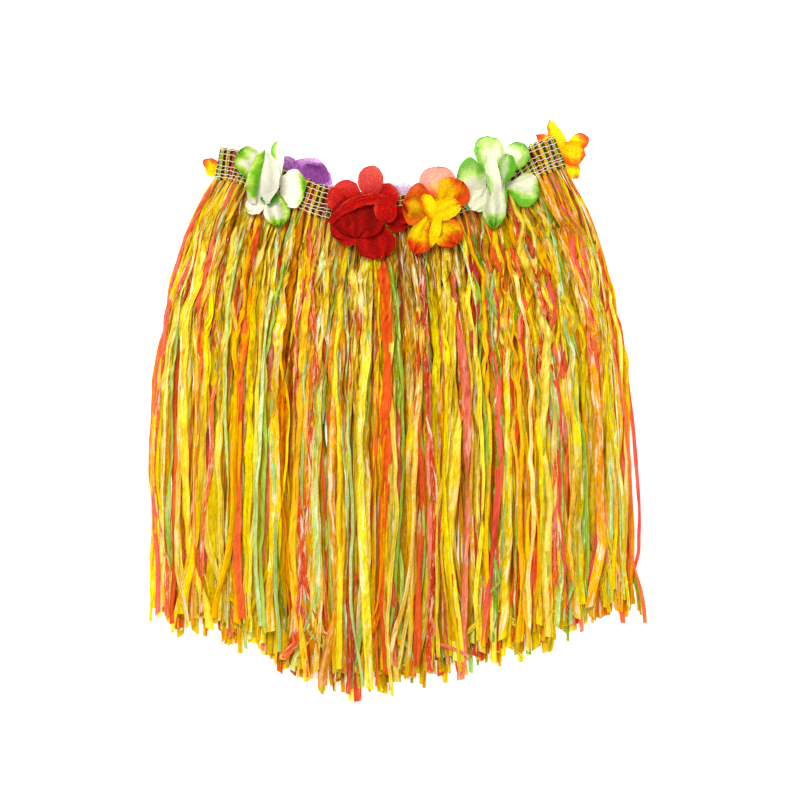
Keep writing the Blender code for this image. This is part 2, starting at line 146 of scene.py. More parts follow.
def linear(red, green, blue):
    """Linear light from a colour on the 0 to 255 scale."""
    parts = np.array((red, green, blue)) / 255
    return np.where(parts <= 0.04045, parts / 12.92, ((parts + 0.055) / 1.055) ** 2.4)


# Colour families. Columns: name; share of the strips; how steeply their red, green and blue fall where less
# light reaches them; the colours one is picked between.
FAMILIES = (
    (
        "gold", 0.67, (0.78, 1.17, 3.6),
        (
            (246, 244, 0), (255, 246, 110), (250, 226, 0), (250, 204, 0), (248, 150, 0), (252, 206, 0),
            (255, 246, 150), (252, 240, 0), (236, 228, 10), (252, 216, 0), (252, 180, 0), (255, 238, 60),
            (252, 242, 10), (252, 226, 0),
        ),
    ),
    (
        "coral", 0.18, (0.7, 1.3, 1.6),
        (
            (242, 96, 40), (250, 120, 60), (250, 108, 92), (248, 94, 108), (252, 150, 140), (250, 104, 80),
            (252, 136, 36), (240, 78, 50),
        ),
    ),
    (
        "green", 0.15, (1.1, 1.0, 2.0),
        ((170, 216, 60), (136, 196, 40), (196, 236, 120), (204, 242, 190), (166, 226, 160), (212, 220, 10)),
    ),
)


# ---- lines
class Line:
    """A smooth line through plan points, asked for by shares of its length."""

    STEPS = 24  # between two knots
    NEAR = 0.01  # the direction at a share is taken between two points this far from it

    def __init__(self, knots):
        knots = [np.array(knot, float) for knot in knots]
        knots = [2 * knots[0] - knots[1]] + knots + [2 * knots[-1] - knots[-2]]
        points = [knots[1]]
        for a, b, c, d in zip(knots, knots[1:], knots[2:], knots[3:]):
            for step in range(1, self.STEPS + 1):
                t = step / self.STEPS
                bend = (2 * a - 5 * b + 4 * c - d) * t**2 + (3 * b - a - 3 * c + d) * t**3
                points.append(0.5 * (2 * b + (c - a) * t + bend))
        self.points = np.array(points)
        marks = np.linalg.norm(np.diff(self.points, axis=0), axis=1)
        self.length = marks.sum()
        self.shares = np.concatenate([[0], np.cumsum(marks)]) / self.length

    def inside(self, share):
        return np.stack([np.interp(share, self.shares, self.points[:, k]) for k in (0, 1)], axis=-1)

    def at(self, share):
        """Points at those shares. Shares past the ends carry straight on."""
        share = np.asarray(share, float)
        held = np.clip(share, 0, 1)
        return self.inside(held) + self.along(held) * ((share - held) * self.length)[..., None]

    def along(self, share):
        """Directions at those shares."""
        share = np.asarray(share)
        way = self.inside(np.clip(share + self.NEAR, 0, 1)) - self.inside(np.clip(share - self.NEAR, 0, 1))
        return way / np.linalg.norm(way, axis=-1, keepdims=True)

    def beside(self, share, distance):
        """Points at that distance below the line, square to it."""
        way = self.along(share)
        square = np.stack([way[..., 1], -way[..., 0]], axis=-1)
        return self.at(share) + square * np.asarray(distance)[..., None]


WAIST, HEM = Line(WAIST_LINE), Line(HEM_LINE)


def mix(a, b, share):
    return a + (b - a) * share


def smooth(low, high, value):
    share = np.clip((value - low) / (high - low), 0, 1)
    return share * share * (3 - 2 * share)


# ---- meshes
def grid_quads(rows, columns, closed=False):
    """Corner numbers of the quads of a grid of points. closed joins the last column to the first."""
    r = np.arange(rows - 1)[:, None]
    c = np.arange(columns if closed else columns - 1)[None, :]
    after = (c + 1) % columns
    return np.stack(
        [r * columns + c, r * columns + after, (r + 1) * columns + after, (r + 1) * columns + c], axis=-1
    ).reshape(-1, 4)


class Batch:
    """Grids of points with a flat coordinate and a tint at each, joined into one mesh."""

    def __init__(self):
        self.points, self.flats, self.tints, self.quads, self.count = [], [], [], [], 0

    def add(self, points, flats, tints, closed=False):
        rows, columns = points.shape[:2]
        self.quads.append(grid_quads(rows, columns, closed) + self.count)
        self.points.append(points.reshape(-1, 3))
        self.flats.append(np.broadcast_to(flats, (rows, columns, 2)).reshape(-1, 2))
        self.tints.append(np.broadcast_to(tints, (rows, columns, 4)).reshape(-1, 4))
        self.count += rows * columns

    def build(self, name, material, faceted=False):
        points, quads = np.concatenate(self.points), np.concatenate(self.quads)
        flats, tints = np.concatenate(self.flats), np.concatenate(self.tints)
        mesh = bpy.data.meshes.new(name)
        mesh.from_pydata(points.tolist(), [], quads.tolist())
        corners = quads.reshape(-1)
        layer = mesh.uv_layers.new(name="flat")
        layer.data.foreach_set("uv", flats[corners].astype(np.float32).reshape(-1))
        tint = mesh.attributes.new("tint", "FLOAT_COLOR", "POINT")
        tint.data.foreach_set("color", tints.astype(np.float32).reshape(-1))
        mesh.polygons.foreach_set("use_smooth", np.full(len(mesh.polygons), not faceted))
        mesh.materials.append(material)
        mesh.validate()
        return add_object(name, mesh)


def add_object(name, data, place=(0.0, 0.0, 0.0)):
    made = bpy.data.objects.new(name, data)
    made.location = place
    bpy.context.scene.collection.objects.link(made)
    return made


def add_piece(batch, name, material, replaces=None, faceted=False):
    """Builds a piece of the skirt, which has one body."""
    piece = batch.build(name, material, faceted)
    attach(piece, "root")
    if replaces:
        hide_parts(replaces)
    return piece


# ---- materials
class Nodes:
    """Short calls for a material's node tree."""

    def __init__(self, name):
        self.material = bpy.data.materials.new(name)
        self.material.use_nodes = True
        self.tree = self.material.node_tree
        self.shader = self.tree.nodes["Principled BSDF"]

    def put(self, value, socket):
        if isinstance(value, bpy.types.NodeSocket):
            self.tree.links.new(value, socket)
        else:
            socket.default_value = value

    def fill(self, node, inputs):
        for key, value in inputs.items():
            self.put(value, node.inputs[key])

    def dress(self, inputs):
        """Sets the shader's own inputs, or links to them."""
        self.fill(self.shader, inputs)

    def make(self, kind, inputs, **settings):
        node = self.tree.nodes.new(kind)
        for key, value in settings.items():
            setattr(node, key, value)
        self.fill(node, inputs)
        return node

    def tint(self):
        return self.make("ShaderNodeAttribute", {}, attribute_name="tint").outputs

    def noise(self, across, along, detail, roughness):
        """Noise over the flat coordinates, with so many lumps to a metre across and along."""
        flat = self.make("ShaderNodeUVMap", {}, uv_map="flat").outputs["UV"]
        scaled = self.make("ShaderNodeMapping", {"Vector": flat, "Scale": (across, along, 1)}).outputs[0]
        inputs = {"Vector": scaled, "Scale": 1, "Detail": detail, "Roughness": roughness}
        return self.make("ShaderNodeTexNoise", inputs).outputs["Fac"]

    def spread(self, value, low, high, to_low=0.0, to_high=1.0):
        """A value between low and high, stretched to the two others and held there."""
        inputs = {0: value, 1: low, 2: high, 3: to_low, 4: to_high}
        return self.make("ShaderNodeMapRange", inputs, clamp=True).outputs[0]

    def maths(self, operation, *values):
        return self.make("ShaderNodeMath", dict(enumerate(values)), operation=operation).outputs[0]

    def blend(self, share, a, b, kind="MIX"):
        inputs = {0: share, 6: a, 7: b}
        return self.make("ShaderNodeMix", inputs, data_type="RGBA", blend_type=kind).outputs[2]

    def times(self, colour, factor):
        """One colour times another, channel by channel."""
        return self.blend(1, colour, factor, "MULTIPLY")

    def ramp(self, value, low, middle, high):
        """A colour picked along three stops. A stop is a position and a colour."""
        node = self.make("ShaderNodeValToRGB", {0: value})
        stops = node.color_ramp.elements
        stops[0].position, stops[0].color = low[0], (*low[1], 1)
        stops[1].position, stops[1].color = high[0], (*high[1], 1)
        stops.new(middle[0]).color = (*middle[1], 1)
        return node.outputs[0]

    def bump(self, height, distance, strength=1.0):
        inputs = {"Height": height, "Distance": distance, "Strength": strength}
        return self.make("ShaderNodeBump", inputs).outputs["Normal"]

    def glow_through(self, colour, share, normal):
        """Lets that share of the light pass through the cloth, scattered."""
        through = self.make("ShaderNodeBsdfTranslucent", {"Color": colour, "Normal": normal}).outputs[0]
        both = self.make("ShaderNodeMixShader", {0: share, 1: self.shader.outputs[0], 2: through}).outputs[0]
        self.put(both, self.tree.nodes["Material Output"].inputs["Surface"])


def raffia_material(name, through):
    """Satin film with streaks along it, with painted highlights, pale where a crumple would catch the light,
    and painted shade, deeper in its folds.

    The tint's alpha says how much of the pale shine a strip takes.
    """
    n = Nodes(name)
    attribute = n.tint()
    tint, shine = attribute["Color"], attribute["Alpha"]
    streaks = n.noise(1150, 9, 4, 0.72)
    crumples = n.noise(380, 120, 3, 0.65)
    sparkle = n.noise(1150, 110, 2, 0.6)
    facets = n.noise(230, 30, 2, 0.55)
    colour = n.blend(n.spread(streaks, 0.36, 0.52), n.times(tint, (0.91, 0.72, 0.03, 1)), tint)
    # Painted highlights: pale glints blended in where the noise patterns peak, as far as the strip's shine
    # allows.
    pale = n.blend(0.8, tint, (1, 0.98, 0.76, 1))
    glints = ((facets, 0.54, 0.64, 0.95), (crumples, 0.59, 0.68, 0.62), (sparkle, 0.6, 0.67, 0.85))
    for pattern, low, high, most in glints:
        colour = n.blend(n.maths("MULTIPLY", n.spread(pattern, low, high, 0, most), shine), colour, pale)
    # Painted shade: dark lines along the crumples' folds.
    off_fold = n.maths("ABSOLUTE", n.maths("SUBTRACT", crumples, 0.47))
    folded = n.spread(off_fold, 0, 0.03, 0.85, 0)
    colour = n.blend(folded, colour, n.times(colour, (0.86, 0.58, 0.14, 1)))
    relief = n.maths("ADD", n.maths("MULTIPLY", streaks, 0.5), n.maths("ADD", crumples, facets))
    normal = n.bump(n.maths("ADD", relief, n.maths("MULTIPLY", sparkle, 0.6)), 0.0014)
    n.dress({
        "Base Color": colour,
        "Roughness": n.spread(crumples, 0.3, 0.7, 0.28, 0.46),
        "Specular IOR Level": 0.06,
        "Specular Tint": (1, 0.84, 0.1, 1),
        "Normal": normal,
    })
    n.glow_through(n.times(colour, (1, 0.94, 0.34, 1)), through, normal)
    return n.material


def petal_material(name, through, grain, solid, inner, between, edge, deep, bleached):
    """Thin cloth, coloured from its middle to its edge. The tint holds (edge, pale, heart, deep); heart is
    painted shade near the root and in pleat valleys.
    """
    n = Nodes(name)
    tint = n.tint()
    parts = n.make("ShaderNodeSeparateColor", {0: tint["Color"]}).outputs
    blotches = n.noise(110, 110, 4, 0.65)
    mottle = n.noise(480, 480, 3, 0.75)
    warp = n.noise(2600, 240, 1, 0.5)
    weft = n.noise(240, 2600, 1, 0.5)
    bled = n.noise(1300, 110, 3, 0.6)
    reach = n.maths("ADD", parts[0], n.spread(blotches, 0.25, 0.75, -0.22, 0.22))
    reach = n.maths("ADD", reach, n.spread(bled, 0.3, 0.7, -0.12, 0.12))
    colour = n.ramp(reach, (0.36, inner), (0.56, between), (0.8, edge))
    # deep: partly the cloth's own darker colour and partly painted shade where a petal lies in shadow.
    colour = n.blend(tint["Alpha"], colour, (*deep, 1))
    colour = n.blend(parts[1], colour, (*bleached, 1))
    weave = n.maths("ADD", warp, weft)
    speck = n.maths("ADD", n.maths("MULTIPLY", weave, 0.6), mottle)
    shade = n.spread(speck, 0.8, 1.4, 1 - grain, 1 + grain)
    # Painted shade from the tint's heart: darker near the root and in pleat valleys.
    shade = n.maths("MULTIPLY", shade, n.spread(parts[2], 0, 1, 1, 0.52))
    shade = n.maths("MULTIPLY", shade, n.spread(bled, 0.3, 0.7, 0.9, 1.08))
    colour = n.times(colour, n.make("ShaderNodeCombineColor", {0: shade, 1: shade, 2: shade}).outputs[0])
    normal = n.bump(n.maths("ADD", weave, n.maths("MULTIPLY", blotches, 2.5)), 0.0004, 0.7)
    n.dress({
        "Base Color": colour, "Roughness": 0.65, "Specular IOR Level": 0.06, "Normal": normal, "Alpha": solid,
    })
    n.glow_through(colour, through, normal)
    return n.material


def thread_material():
    """Off-white twisted thread."""
    n = Nodes("thread_white")
    twist = n.noise(300, 1400, 2, 0.5)
    colour = n.blend(n.spread(twist, 0.3, 0.7), (0.82, 0.78, 0.72, 1), (0.56, 0.52, 0.44, 1))
    n.dress({"Base Color": colour, "Roughness": 0.75, "Normal": n.bump(twist, 0.0002, 0.6)})
    return n.material


def lining_material():
    """The dark inside of the band, seen through its net: bundles of maroon, brown and green in shade."""
    n = Nodes("band_inside")
    bundles = n.noise(8, 330, 2, 0.7)
    drift = n.noise(60, 60, 2, 0.5)
    brown, maroon, green = linear(70, 26, 12), linear(104, 30, 34), linear(96, 88, 18)
    colour = n.ramp(bundles, (0.36, brown), (0.5, maroon), (0.62, green))
    colour = n.blend(n.spread(drift, 0.4, 0.7, 0, 0.6), colour, (*linear(60, 44, 14), 1))
    n.dress({"Base Color": colour, "Roughness": 0.8, "Normal": n.bump(bundles, 0.0006, 0.7)})
    return n.material


# ---- ribbons
def knots(rng, distances, spacing, amount, first=None):
    """A line of straight stretches through random values, about this far apart, as kinked film runs.

    first is the value that the line starts from, where it is given.
    """
    steps = rng.uniform(0.55, 1.45, int(distances[-1] / spacing * 1.7) + 4) * spacing
    places = np.concatenate([[0], np.cumsum(steps)]) - rng.uniform(0, 0.5) * spacing
    values = rng.normal(0, amount, len(places))
    if first is not None:
        values[:2] = first
    return np.interp(distances, places, values)


def kinked(rng, distances, kind):
    """The kinks of that kind at these distances along a strip."""
    return sum(knots(rng, distances, spacing, amount) for spacing, amount in KINKS[kind])


def distances_along(points):
    return np.concatenate([[0], np.cumsum(np.linalg.norm(np.diff(points, axis=0), axis=1))])


def frame_along(path):
    """Directions ahead, sideways and up at each point of a path."""
    ahead = np.gradient(path, axis=0)
    ahead /= np.linalg.norm(ahead, axis=1, keepdims=True)
    side = np.cross(ahead, (0, 0, 1))
    side /= np.maximum(np.linalg.norm(side, axis=1, keepdims=True), 1e-6)
    return ahead, side, np.cross(side, ahead)


def flat_grid(across, along):
    """Flat coordinates of a grid of points: its distances across and along."""
    return np.stack(np.broadcast_arrays(across, along[:, None]), -1)


CREASES = np.array((0.0, 0.9, -0.9, 0.7, 0.0))  # a creased section's height at each point across


def ribbon(batch, path, half, roll, curl, crease, tint, shift=0.0, slant=0.0, creases=CREASES):
    """Adds a strip of film along a path, nowhere below the table.

    Its section is bowed by curl, creased lengthwise and turned by roll. shift moves its texture, and slant
    cuts its end at an angle.
    """
    ahead, side, up = frame_along(path)
    across = np.array(ACROSS)
    turn_side = side * np.cos(roll)[:, None] + up * np.sin(roll)[:, None]
    turn_up = up * np.cos(roll)[:, None] - side * np.sin(roll)[:, None]
    bow = curl[:, None] * (across**2 - 0.4) + crease[:, None] * creases
    narrow = half * (1 - 0.45 * np.abs(curl) - 0.25 * np.abs(crease))
    points = (
        path[:, None, :]
        + turn_side[:, None, :] * (narrow[:, None] * across)[..., None]
        + turn_up[:, None, :] * (half[:, None] * bow)[..., None]
    )
    points[-1] += ahead[-1] * (slant * across * half[-1])[:, None]
    points[..., 2] = np.maximum(points[..., 2], FLOOR_CLEARANCE)
    batch.add(points, flat_grid(across * half.max(), distances_along(path) + shift), tint)


def round_tube(batch, path, radius, tint, shift=0.0):
    """Adds a thread along a path."""
    _, side, up = frame_along(path)
    turns = np.arange(TUBE_SIDES) * 2 * math.pi / TUBE_SIDES
    ring = side[:, None, :] * np.cos(turns)[None, :, None] + up[:, None, :] * np.sin(turns)[None, :, None]
    flats = flat_grid(turns * radius, distances_along(path) + shift)
    batch.add(path[:, None, :] + ring * radius, flats, tint, closed=True)


# ---- the fringe
def puff(share):
    """How far the pile stands up across the skirt: full in the middle, less at the sides."""
    return mix(PUFF_AT_SIDES, 1, np.sqrt(np.sin(math.pi * share)))


class Locks:
    """Neighbouring strips cling together in locks, with grooves between them."""

    def __init__(self, rng):
        widths = rng.uniform(0.55, 1.6, LOCKS)
        self.edges = np.concatenate([[0], np.cumsum(widths)]) / widths.sum()
        self.middles, self.halves = (self.edges[:-1] + self.edges[1:]) / 2, np.diff(self.edges) / 2
        self.reach = np.linspace(0, 0.52, 40)
        self.sway = [knots(rng, self.reach, 0.15, 0.003, 0) for _ in range(LOCKS)]
        self.lift = [knots(rng, self.reach, 0.14, 0.0013, 0) for _ in range(LOCKS)]
        self.cling = rng.uniform(0.22, 0.5, LOCKS)
        self.tone = rng.uniform(0.88, 1.1, LOCKS)

    def find(self, share):
        return int(np.clip(np.searchsorted(self.edges, share) - 1, 0, LOCKS - 1))


def fan_out(s, length):
    """How far a strip has moved from its place on the waist line towards that on the hem line."""
    return 1 - np.exp(-s / length)


def crumpled_at(s):
    """How crumpled a strip is along its length: most just under the band, where it was packed tightest."""
    return smooth(0.006, 0.04, s) * mix(1, 0.3, smooth(0.1, 0.26, s))


def strip_sideways(rng, locks, share, level, start, end, length, s):
    """A strip's place across the skirt at its stations."""
    lock = locks.find(share)
    middle = locks.middles[lock]
    inside = math.sin(math.pi * share) ** 1.4
    at_sides = mix(SPREAD_LENGTH_LEFT, SPREAD_LENGTH_RIGHT, share)
    fan = fan_out(s, mix(at_sides, SPREAD_LENGTH_INSIDE, inside))
    x = mix(start, end, fan)
    lock_line = mix(WAIST.beside(middle, BAND_HEIGHT / 2)[0], HEM.at(middle)[0], fan)
    cling = (1 if level > CLINGING_LEVEL else 0.35) * locks.cling[lock] * smooth(0.02, 0.15, s)
    x = mix(x, lock_line, cling * mix(1, 0.45, smooth(0.3, 0.44, s)))
    loose = loose_at(s)
    swing = 1 if level > FRONT_LEVEL else 0.25
    x += loose * swing * np.interp(s, locks.reach, locks.sway[lock])
    x += loose * kinked(rng, s, "sway")
    x += packed_at(share, s) * kinked(rng, s, "crumple")
    lean = rng.normal()
    lean = np.clip(LEAN * lean * (1 + lean * lean), -MOST_LEAN, MOST_LEAN)
    x += lean * smooth(length - LEANS_OVER, length, s) ** 1.5
    left = mix(WAIST.at(0)[0], HEM.at(0)[0], fan_out(s, SPREAD_LENGTH_LEFT))
    right = mix(WAIST.at(1)[0], HEM.at(1)[0], fan_out(s, SPREAD_LENGTH_RIGHT))
    x = np.where(x < left, mix(left, x, HELD_LEFT), np.where(x > right, mix(right, x, HELD_RIGHT), x))
    return x + kinked(rng, s, "side") * loose


def loose_at(s):
    """How freely a strip sways along its length."""
    return smooth(0, 0.18, s)


def packed_at(share, s):
    tangle = math.exp(-(((share - TANGLE_AT) / TANGLE_REACH) ** 2))
    return crumpled_at(s) * (1 + TANGLE_MORE * tangle)


def strip_path(rng, locks, share, level, root_height, drift, lift):
    """The middle line of one strip and the distances of its stations from the band."""
    top = WAIST.beside(share, BAND_HEIGHT / 2 - TUCKED_IN)[1]
    start = WAIST.beside(np.clip(share, *ROOT_SHARES), BAND_HEIGHT / 2 - TUCKED_IN)[0]
    end = HEM.at(np.clip(share + drift, *END_SHARES))
    short = max(rng.normal(*SHORTER_BY), -MOST_LONGER)
    if rng.random() < CUT_CHANCE:
        short += rng.uniform(*CUT_BY)
    length = top - end[1] - short
    s = length * np.linspace(0, 1, STATIONS) ** CLOSER_AT_BAND
    x = strip_sideways(rng, locks, share, level, start, end[0], length, s)
    lock = locks.find(share)
    loose = loose_at(s)
    off_middle = min(1, abs(share - locks.middles[lock]) / locks.halves[lock])
    groove = 1 - 0.55 * off_middle**2 * smooth(0.04, 0.16, s)
    piled = PILE_FLOOR + level * (PILE_HEIGHT * puff(share)) * groove
    z = mix(root_height, piled, smooth(0, PUFFS_OVER, s))
    z = mix(PILE_FLOOR, z, 1 - 0.35 * smooth(0.36, 0.47, s))
    z += loose * np.interp(s, locks.reach, locks.lift[lock]) * level
    z += smooth(0, 0.05, s) * kinked(rng, s, "rise")
    z += packed_at(share, s) * kinked(rng, s, "crumpled rise") + loose * lift
    return np.stack([x, top - s, np.maximum(z, PILE_FLOOR)], axis=1), s


def either(rng):
    """1 or -1."""
    return rng.choice((-1, 1))


def bend_tip(rng, path, angle):
    """Turns the last few centimetres of a strip sideways, as if it had been folded there."""
    first = STATIONS - int(rng.integers(3, 7))
    pivot = path[first].copy()
    turn = np.array(((math.cos(angle), -math.sin(angle)), (math.sin(angle), math.cos(angle))))
    path[first + 1 :, :2] = pivot[:2] + (path[first + 1 :, :2] - pivot[:2]) @ turn.T
    return path


def strip_place(rng, place, level):
    """Where a strip starts, as a share of the waist line, and how far it drifts along the hem line."""
    column = (np.floor(place * BAND_COLUMNS) + 0.5) / BAND_COLUMNS
    share = float(np.clip(mix(place, column, 0.75 if level > BUNDLED_LEVEL else 0.2), *STRIP_SHARES))
    drift = rng.normal(0, DRIFT)
    if rng.random() < STRAY_CHANCE:
        drift = either(rng) * rng.uniform(*STRAY_DRIFT)
    return share, drift


def strip_roll(rng, s, width):
    """How far a strip is rolled about its path. A narrow one rolls more, and some are turned right over."""
    roll = min(2, 1 / width) * kinked(rng, s, "roll")
    roll = roll + crumpled_at(s) * kinked(rng, s, "crumpled roll")
    if rng.random() < TURN_CHANCE:
        turn_at = rng.uniform(*TURN_AT)
        roll = roll + either(rng) * math.pi * smooth(turn_at, turn_at + TURN_LENGTH, s)
    return roll


def pick_family(draw):
    total = 0
    for family, share, falls, colours in FAMILIES:
        total += share
        if draw <= total:
            break
    return family, falls, colours


def strip_shade(locks, share, level):
    """How much light reaches a strip: less low in the pile and in the skirt's thick middle."""
    buried = 0.19 * math.sin(math.pi * share) ** 2 * (1 - 0.7 * smooth(0.55, 1, level))
    return (mix(0.84, 1, smooth(0.35, 0.9, level)) - buried) * locks.tone[locks.find(share)]


def strip_tint(rng, colours, falls, s, shade, shine):
    """A strip's colour along its length. Where less light reaches the film it glows deeper, not greyer."""
    pick = rng.random() * (len(colours) - 1)
    low = int(pick)
    colour = mix(linear(*colours[low]), linear(*colours[low + 1]), pick - low)
    # Painted shade: the strip's light from strip_shade, darker still for low strips just under the band.
    painted_shade = shade * mix(mix(0.34, 0.9, smooth(0.72, 0.98, shade)), 1, smooth(0.02, 0.13, s))
    # Painted crumple shade: lighter and darker along the strip.
    wave = 1 + kinked(rng, s, "tone")
    tint = np.ones((len(s), len(ACROSS), 4))
    # Painted edge shade: each strip darker and more orange towards its edges.
    thick = mix(np.ones(3), np.array((0.95, 0.78, 0.3)), np.abs(ACROSS)[:, None] ** 4)
    # Lengthwise streaks, partly the film's own and partly painted sheen; near the band, painted crumple shade
    # at each point.
    streaks = rng.normal(1, 0.13, len(ACROSS))
    streaks = streaks + rng.normal(0, 1, (len(s), len(ACROSS))) * (0.05 + 0.19 * crumpled_at(s))[:, None]
    tone = np.clip(rng.uniform(0.8, 1.2) * (painted_shade * wave)[:, None] * streaks, 0.2, 1.3)
    tint[..., :3] = colour * thick * tone[..., None] ** np.array(falls)
    tint[..., 3] = shine
    return np.clip(tint, 0, 1)


def fringe_batches():
    rng = np.random.default_rng(20)
    locks = Locks(rng)
    batches = {}
    for side, count, level, root_height in LAYERS:
        offset = rng.random()
        for index in range(count):
            place = (index + mix(0.3, 0.7, offset) + rng.uniform(-0.3, 0.3)) / count
            share, drift = strip_place(rng, place, level)
            path, s = strip_path(rng, locks, share, level, root_height, drift, index % 3 * NEIGHBOUR_STEP)
            if 0.03 < share < 0.97 and rng.random() < TIP_BEND_CHANCE:
                path = bend_tip(rng, path, either(rng) * rng.uniform(*TIP_BEND))
            width = rng.choice(WIDTHS, p=WIDTH_CHANCES) * rng.uniform(0.88, 1.15)
            width = max(width * mix(0.65, 1, smooth(0, 0.08, min(share, 1 - share))), WIDTHS[-1])
            draw = FAMILY_STEP * index + offset + rng.uniform(-0.07, 0.07)
            family, falls, colours = pick_family(draw % 1)
            if family == "green":
                width *= GREEN_WIDTH
            gathered = mix(0.44 if level > BUNDLED_LEVEL else 0.8, 1, smooth(0.004, 0.048, s))
            half = HALF_WIDTH * width * gathered * np.clip(1 + kinked(rng, s, "width"), 0.7, 1.2)
            roll = strip_roll(rng, s, width)
            curl = np.clip(kinked(rng, s, "curl"), -0.8, 0.8)
            crease = np.clip(kinked(rng, s, "crease"), -0.7, 0.7)
            creases = rng.uniform(-1, 1, len(ACROSS))
            shine = rng.choice(SHINES, p=SHINE_CHANCES) * mix(0.08, 1, smooth(0.45, 0.9, level))
            tint = strip_tint(rng, colours, falls, s, strip_shade(locks, share, level), shine)
            batch = batches.setdefault((side, family), Batch())
            shift, slant = rng.uniform(0, 20), rng.normal(0, 0.35)
            ribbon(batch, path, half, roll, curl, crease, tint, shift, slant, creases)
    return batches


FRINGE_PIECES = {
    ("front", "gold"): "fringe_front_outer",
    ("front", "coral"): "fringe_front_inner",
    ("back", "green"): "fringe_back_inner",
    ("back", "gold"): "fringe_back_outer",
}


def fringe():
    looks = {family: raffia_material(f"raffia_{family}", 0.4) for family, *_ in FAMILIES}
    return [
        add_piece(
            batch, f"raffia_{side}_{family}", looks[family],
            FRINGE_PIECES.get((side, family)), faceted=True,
        )
        for (side, family), batch in fringe_batches().items()
    ]


# ---- the waistband
# Rows of white thread, from the top edge down, as shares of the band's height.
THREAD_ROWS = (0.03, 0.2, 0.4, 0.6, 0.75, 0.87, 0.985)
THREAD_RADIUS = 0.00026
TUBE_SIDES = 6
COLUMN_COLOURS = (
    (230, 210, 0), (186, 194, 10), (230, 176, 10), (140, 182, 40),
    (206, 156, 10), (204, 66, 60), (196, 204, 20), (240, 222, 30),
)
# Dark strands, partly the raffia's own maroon and olive and partly painted shade of the gaps between bundles.
DARK_COLOURS = ((104, 14, 16), (88, 58, 0), (62, 84, 4), (126, 22, 22), (76, 34, 4))

# Strands of each bundle. Columns: place across, as a share of the pitch; half width; drop; shine; colours.
BUNDLE_STRANDS = (
    # This strand lies low in the gaps between bundles, as painted shade there.
    (0.48, 0.0022, 0.0006, 0.0, DARK_COLOURS),
    (-0.1, 0.0015, 0.0, 0.25, COLUMN_COLOURS),
    (0.14, 0.0009, -0.0002, 0.25, COLUMN_COLOURS),
)
BUNDLE_STATIONS = 26
PUFF_BETWEEN = 0.0007  # how far a bundle stands out between two rows of thread
BAND_SHARES = (0.004, 0.996)  # the ends of the band, as shares of the waist line
END_BULGE = 0.0014
LOOP_POINTS = 9


def band_place(share, rise, height):
    """Points on the band: share of the way across, distance above its middle line, height above the table."""
    share, rise = np.broadcast_arrays(np.asarray(share, float), np.asarray(rise, float))
    plan = WAIST.beside(share, -rise)
    return np.concatenate([plan, np.broadcast_to(height, plan.shape[:-1])[..., None]], axis=-1)


def band_shell(material):
    """The band's own cloth: one closed loop, pressed flat, a little inside the net of threads."""
    rises = np.linspace(-BAND_HEIGHT / 2, BAND_HEIGHT / 2, 9)
    front, back = BAND_VALLEY - 0.0009, BAND_LOW + 0.0012
    low, high = BAND_SHARES
    shares = np.linspace(low, high, 110)
    section = []
    for line, end, way, near, far in ((shares, high, 1, front, back), (shares[::-1], low, -1, back, front)):
        section += [(share, near) for share in line]
        for step in range(1, 6):
            turn = math.pi * step / 6
            out = way * math.sin(turn) * END_BULGE / WAIST.length
            section.append((end + out, mix(far, near, (1 + math.cos(turn)) / 2)))
    points = np.array([band_place(share, rises, height) for share, height in section + section[:1]])
    batch = Batch()
    batch.add(points, flat_grid(rises, distances_along(points[:, 0])), WHITE)
    return add_piece(batch, "waistband_cloth", material, replaces="waistband")


def thread_pinch(position):
    """1 on a row of thread, falling to 0 between rows. position is a share of the height, from the top."""
    nearest = np.min(np.abs(np.asarray(position)[..., None] - np.array(THREAD_ROWS)), axis=-1)
    return np.exp(-((nearest / 0.045) ** 2))


def band_columns(rng, material, front):
    """The bundles of raffia that run up the band, pinched by each row of thread."""
    batch = Batch()
    position = np.linspace(-0.02, 1.1, BUNDLE_STATIONS)
    along = position * BAND_HEIGHT
    pinch = thread_pinch(position)
    side, flip, base = ("front", 1, BAND_VALLEY) if front else ("back", -1, BAND_LOW + 0.0009)
    for index in range(BAND_COLUMNS):
        for shift, broad, drop, shine, palette in BUNDLE_STRANDS:
            share = np.clip((index + 0.5 + shift + rng.uniform(-0.05, 0.05)) / BAND_COLUMNS, *BAND_SHARES)
            wobble = knots(rng, along, 0.006, 0.00022) / WAIST.length
            height = base + flip * (PUFF_BETWEEN * (1 - pinch) - drop)
            path = band_place(share + wobble, BAND_HEIGHT * (0.5 - position), height)
            half = broad * rng.uniform(0.85, 1.15) * mix(1, 0.68, pinch)
            colour = linear(*palette[rng.integers(len(palette))]) * rng.uniform(0.45, 0.98)
            roll = knots(rng, along, 0.009, math.radians(22))
            curl = np.full(BUNDLE_STATIONS, -0.55 * flip)
            crease = knots(rng, along, 0.008, 0.1)
            ribbon(batch, path, half, roll, curl, crease, (*colour, shine), rng.uniform(0, 20))
    return add_piece(batch, f"waistband_bundles_{side}", material)


def band_threads(rng, material, front):
    """Rows of white thread, over one bundle and under the next."""
    batch = Batch()
    side, flip, base = ("front", 1, BAND_VALLEY + 0.0006) if front else ("back", -1, BAND_LOW + 0.0003)
    share = np.linspace(0, 1, BAND_COLUMNS * 6 + 1)
    beat = share * BAND_COLUMNS * math.pi
    for row, position in enumerate(THREAD_ROWS):
        wander = knots(rng, share * WAIST.length, 0.014, 0.00045)
        rise = BAND_HEIGHT * (0.5 - position) + 0.00035 * np.sin(beat * 2 + row * 1.7) + wander
        height = base + flip * (0.0003 * np.sin(beat + row * math.pi) + 0.0001)
        round_tube(batch, band_place(share, rise, height), THREAD_RADIUS, WHITE, rng.uniform(0, 9))
    return add_piece(batch, f"waistband_threads_{side}", material)


